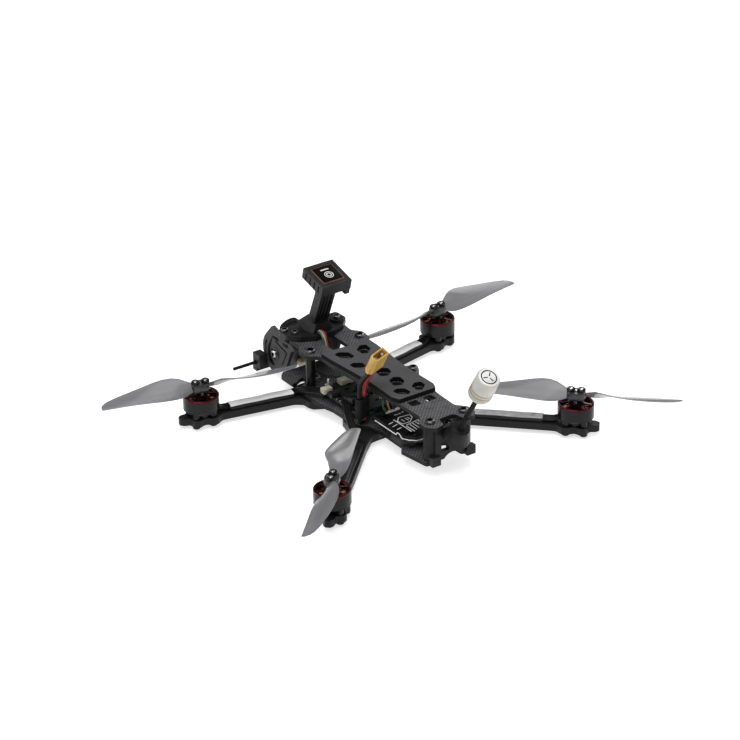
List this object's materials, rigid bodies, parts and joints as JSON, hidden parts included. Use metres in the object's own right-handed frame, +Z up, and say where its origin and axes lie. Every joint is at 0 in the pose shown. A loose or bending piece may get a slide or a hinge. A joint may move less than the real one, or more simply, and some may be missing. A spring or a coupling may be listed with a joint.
{
  "type": "quadcopter drone",
  "caption": "Small X-shaped quadcopter with flat bolted plates and arms, tilting nose camera, two-blade propellers, leaning aerial masts and a battery lead.",
  "frame": {"origin": "middle of the belly, on the underside of the bottom clamp plate", "axes": "+X to port, -Y forward to the camera, +Z up"},
  "size_m": [0.2377, 0.1798, 0.0642],
  "materials": {
    "black_board": "satin",
    "black_metal": "gloss",
    "black_wire": "satin",
    "board": "satin",
    "brass": "polished",
    "carbon": "satin",
    "carbon_arm": "satin",
    "chip": "satin",
    "copper": "lacquered",
    "lens": "gloss",
    "milky": "satin",
    "pad": "matte",
    "red_wire": "satin",
    "rubber": "matte",
    "side_plate": "matte",
    "smoke": "gloss",
    "steel": "polished",
    "tpu": "satin",
    "wine": "gloss",
    "wrap": "gloss",
    "xt30": "satin"
  },
  "bodies": {
    "airframe": {"bottom_clamp_plate": "carbon", "main_plate": "carbon", "top_plate": "carbon", "battery_pad": "pad", "camera_side_plate_port": "side_plate", "camera_side_plate_starboard": "side_plate", "receiver_antenna_holder": "tpu", "receiver_antenna_port": "rubber", "receiver_antenna_starboard": "rubber", "gps_mount": "tpu", "gps_module": "chip", "rear_antenna_mount": "tpu", "video_antenna_stem": "rubber", "video_antenna_element": "brass", "video_antenna_cap": "milky", "flight_controller_board": "board", "video_transmitter_board": "black_board", "video_transmitter_cover": "chip", "lead_sleeve": "rubber", "battery_lead_red": "red_wire", "battery_lead_black": "black_wire", "battery_connector": "xt30", "standoff_front_port": "black_metal", "standoff_front_starboard": "black_metal", "standoff_rear_port": "black_metal", "standoff_rear_starboard": "black_metal", "standoff_side": "black_metal", "arm_front_port": "carbon_arm", "motor_base_front_port": "black_metal", "motor_stator_front_port": "copper", "motor_wires_front_port": "wrap", "arm_front_starboard": "carbon_arm", "motor_base_front_starboard": "black_metal", "motor_stator_front_starboard": "copper", "motor_wires_front_starboard": "wrap", "arm_rear_port": "carbon_arm", "motor_base_rear_port": "black_metal", "motor_stator_rear_port": "copper", "motor_wires_rear_port": "wrap", "arm_rear_starboard": "carbon_arm", "motor_base_rear_starboard": "black_metal", "motor_stator_rear_starboard": "copper", "motor_wires_rear_starboard": "wrap"},
    "camera": {"camera_body": "chip", "lens_barrel": "rubber", "lens_glass": "lens", "camera_pivot_screw_port": "steel", "camera_pivot_screw_starboard": "steel"},
    "rotor_front_port": {"motor_bell_front_port": "black_metal", "motor_crown_front_port": "wine", "propeller_front_port": "smoke"},
    "rotor_front_starboard": {"motor_bell_front_starboard": "black_metal", "motor_crown_front_starboard": "wine", "propeller_front_starboard": "smoke"},
    "rotor_rear_port": {"motor_bell_rear_port": "black_metal", "motor_crown_rear_port": "wine", "propeller_rear_port": "smoke"},
    "rotor_rear_starboard": {"motor_bell_rear_starboard": "black_metal", "motor_crown_rear_starboard": "wine", "propeller_rear_starboard": "smoke"}
  },
  "joints": [
    {"name": "camera_tilt", "type": "hinge", "parent": "airframe", "child": "camera", "pos_m": [0, -0.0735, 0.0138], "axis": [-1, 0, 0], "range_deg": [-25, 25]},
    {"name": "rotor_spin_front_port", "type": "hinge", "parent": "airframe", "child": "rotor_front_port", "pos_m": [0.06935, -0.05575, 0.0125], "axis": [0, 0, 1], "continuous": true},
    {"name": "rotor_spin_front_starboard", "type": "hinge", "parent": "airframe", "child": "rotor_front_starboard", "pos_m": [-0.06935, -0.05575, 0.0125], "axis": [0, 0, 1], "continuous": true},
    {"name": "rotor_spin_rear_port", "type": "hinge", "parent": "airframe", "child": "rotor_rear_port", "pos_m": [0.06935, 0.05575, 0.0125], "axis": [0, 0, 1], "continuous": true},
    {"name": "rotor_spin_rear_starboard", "type": "hinge", "parent": "airframe", "child": "rotor_rear_starboard", "pos_m": [-0.06935, 0.05575, 0.0125], "axis": [0, 0, 1], "continuous": true}
  ]
}
